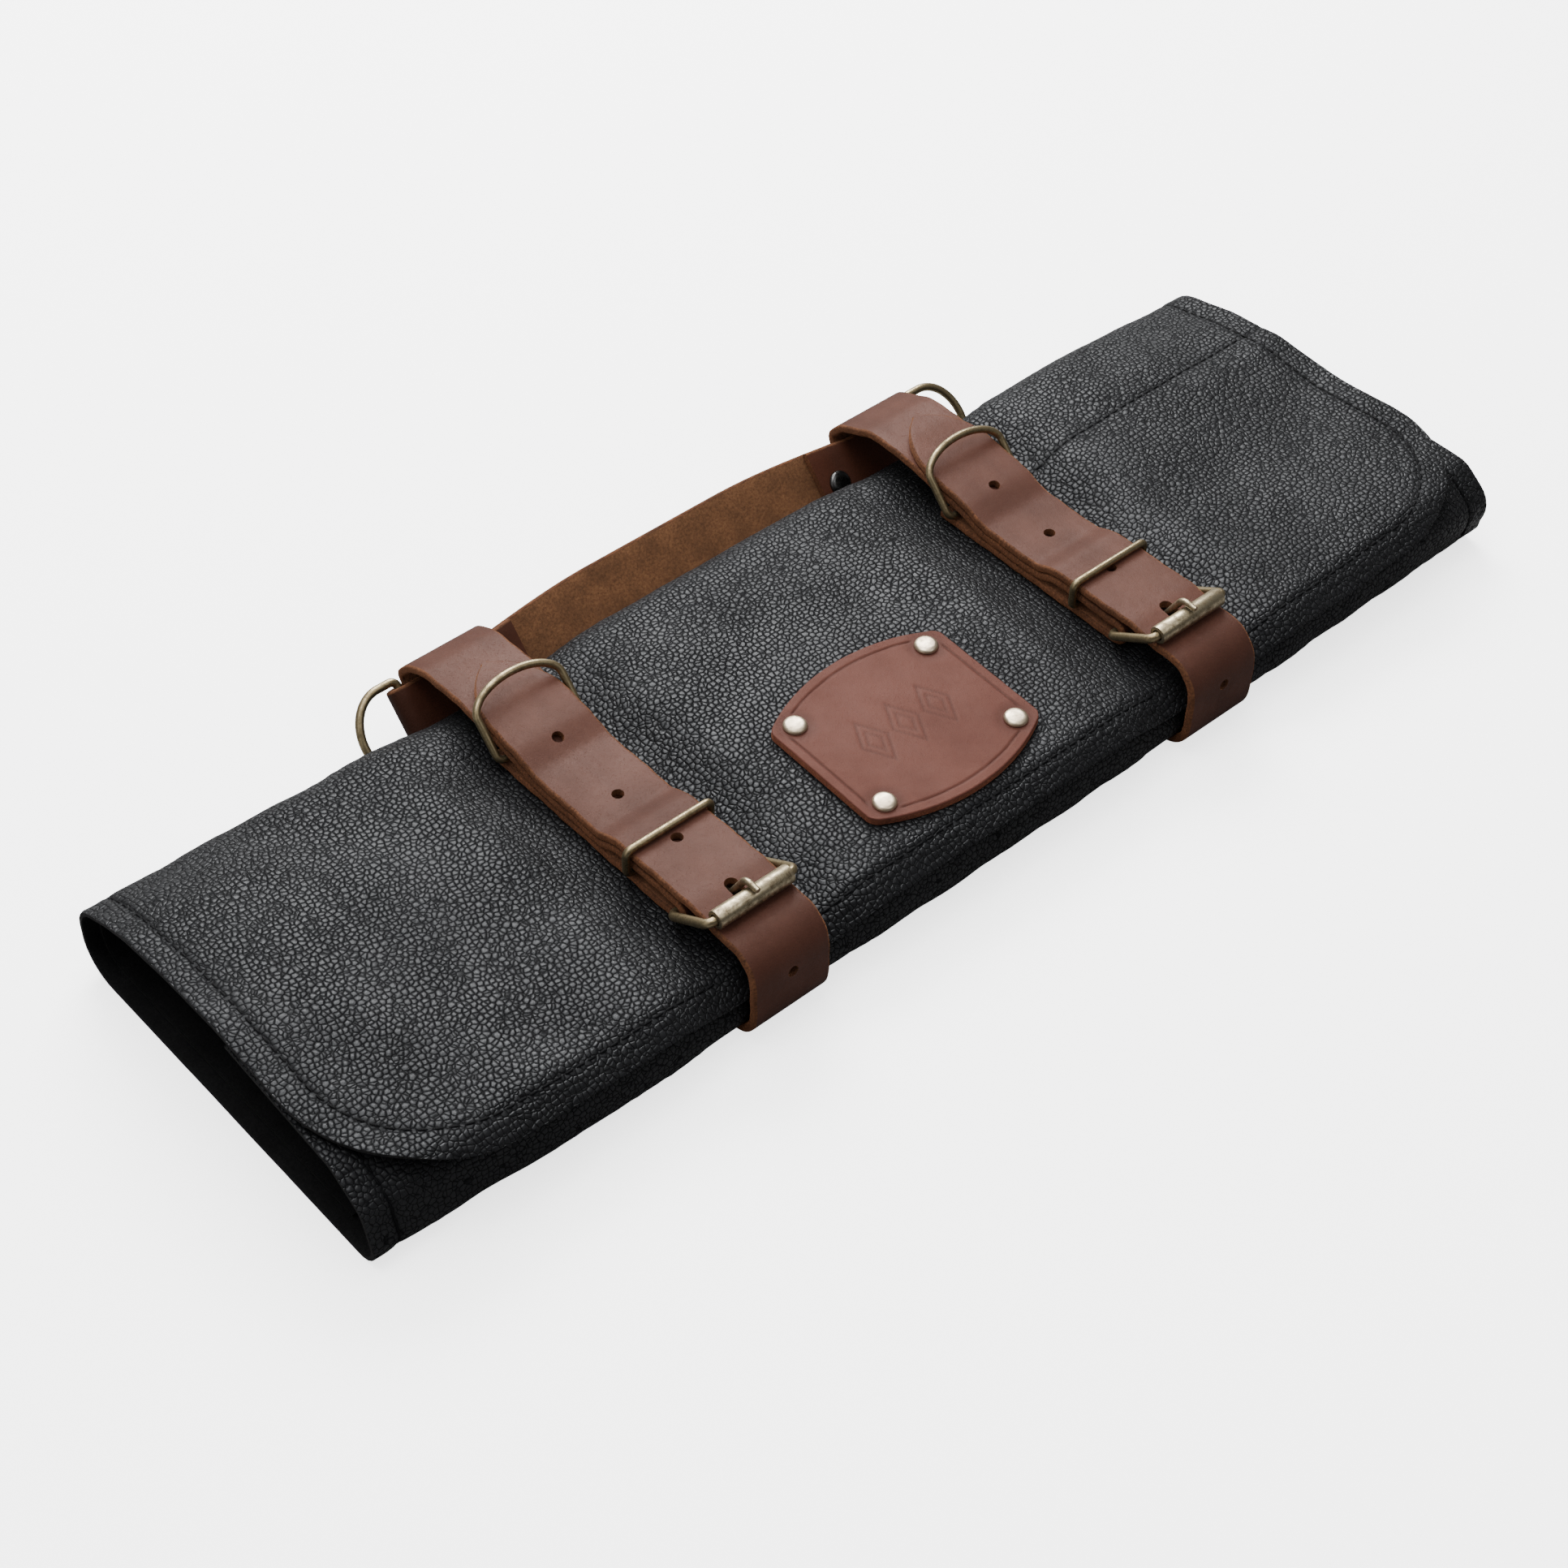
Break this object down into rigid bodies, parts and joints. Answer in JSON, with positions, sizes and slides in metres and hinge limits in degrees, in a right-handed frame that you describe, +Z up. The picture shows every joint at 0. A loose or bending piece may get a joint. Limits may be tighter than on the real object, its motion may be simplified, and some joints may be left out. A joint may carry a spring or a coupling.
{
  "type": "tool roll case",
  "caption": "Folded leather roll for brushes or tools, held shut by buckled belts with rings, keepers and a carrying handle.",
  "frame": {"origin": "on the roll's underside, half way along it and half way across the folded leather", "axes": "+X along the roll, +Y towards the back fold and the handle, +Z up"},
  "size_m": [0.472, 0.1774, 0.0472],
  "materials": {
    "black_leather": "pebbled, soft sheen",
    "lining_leather": "matte",
    "belt_leather": "smooth and waxed, with raw cut edges",
    "handle_leather": "smooth outside, suede inside",
    "patch_leather": "smooth, matte",
    "antique_brass": "antiqued, satin",
    "patch_rivet_metal": "warm nickel, polished",
    "dark_rivet_metal": "blackened, polished"
  },
  "bodies": {
    "roll": {"leather_shell": "black_leather", "pocket_panel_left": "lining_leather", "pocket_panel_right": "lining_leather", "label_patch": "patch_leather", "patch_rivet_1": "patch_rivet_metal", "patch_rivet_2": "patch_rivet_metal", "patch_rivet_3": "patch_rivet_metal", "patch_rivet_4": "patch_rivet_metal", "belt_strap_left": "belt_leather", "buckle_frame_left": "antique_brass", "fold_rivet_front_left": "antique_brass", "fold_rivet_rear_left": "antique_brass", "belt_strap_right": "belt_leather", "buckle_frame_right": "antique_brass", "fold_rivet_front_right": "antique_brass", "fold_rivet_rear_right": "antique_brass"},
    "roller_left": {"buckle_roller_left": "antique_brass"},
    "roller_right": {"buckle_roller_right": "antique_brass"},
    "prong_left": {"buckle_prong_left": "antique_brass"},
    "prong_right": {"buckle_prong_right": "antique_brass"},
    "keeper_left": {"belt_keeper_left": "antique_brass"},
    "keeper_right": {"belt_keeper_right": "antique_brass"},
    "belt_ring_left": {"belt_d_ring_left": "antique_brass"},
    "belt_ring_right": {"belt_d_ring_right": "antique_brass"},
    "handle": {"handle_strap": "handle_leather", "handle_rivet_left": "dark_rivet_metal", "handle_rivet_right": "dark_rivet_metal"},
    "handle_ring_left": {"handle_d_ring_left": "antique_brass"},
    "handle_ring_right": {"handle_d_ring_right": "antique_brass"}
  },
  "joints": [
    {"name": "roller_spin_left", "type": "hinge", "parent": "roll", "child": "roller_left", "pos_m": [-0.09, -0.061, 0.04], "axis": [1, 0, 0], "continuous": true},
    {"name": "roller_spin_right", "type": "hinge", "parent": "roll", "child": "roller_right", "pos_m": [0.0952, -0.061, 0.04], "axis": [1, 0, 0], "continuous": true},
    {"name": "prong_lift_left", "type": "hinge", "parent": "roll", "child": "prong_left", "pos_m": [-0.09, -0.044, 0.0294], "axis": [-1, 0, 0], "range_deg": [0, 6]},
    {"name": "prong_lift_right", "type": "hinge", "parent": "roll", "child": "prong_right", "pos_m": [0.0952, -0.044, 0.0294], "axis": [-1, 0, 0], "range_deg": [0, 6]},
    {"name": "keeper_slide_left", "type": "slide", "parent": "roll", "child": "keeper_left", "axis": [0, 1, 0], "range_m": [-0.01, 0.006]},
    {"name": "keeper_slide_right", "type": "slide", "parent": "roll", "child": "keeper_right", "axis": [0, 1, 0], "range_m": [-0.007, 0.009]},
    {"name": "belt_ring_swing_left", "type": "hinge", "parent": "roll", "child": "belt_ring_left", "pos_m": [-0.09, 0.0385, 0.0292], "axis": [1, 0, 0], "range_deg": [-8, 90]},
    {"name": "belt_ring_swing_right", "type": "hinge", "parent": "roll", "child": "belt_ring_right", "pos_m": [0.0952, 0.0315, 0.0292], "axis": [1, 0, 0], "range_deg": [-2, 90]},
    {"name": "handle_slide", "type": "slide", "parent": "roll", "child": "handle", "axis": [0, 0.6691, 0.7431], "range_m": [-0.0015, 0.001]},
    {"name": "handle_ring_swing_left", "type": "hinge", "parent": "handle", "child": "handle_ring_left", "pos_m": [-0.1066, 0.08353, 0.01274], "axis": [0, 0.6691, 0.7431], "range_deg": [-90, 8]},
    {"name": "handle_ring_swing_right", "type": "hinge", "parent": "handle", "child": "handle_ring_right", "pos_m": [0.1157, 0.08353, 0.01274], "axis": [0, 0.6691, 0.7431], "range_deg": [-8, 90]}
  ]
}
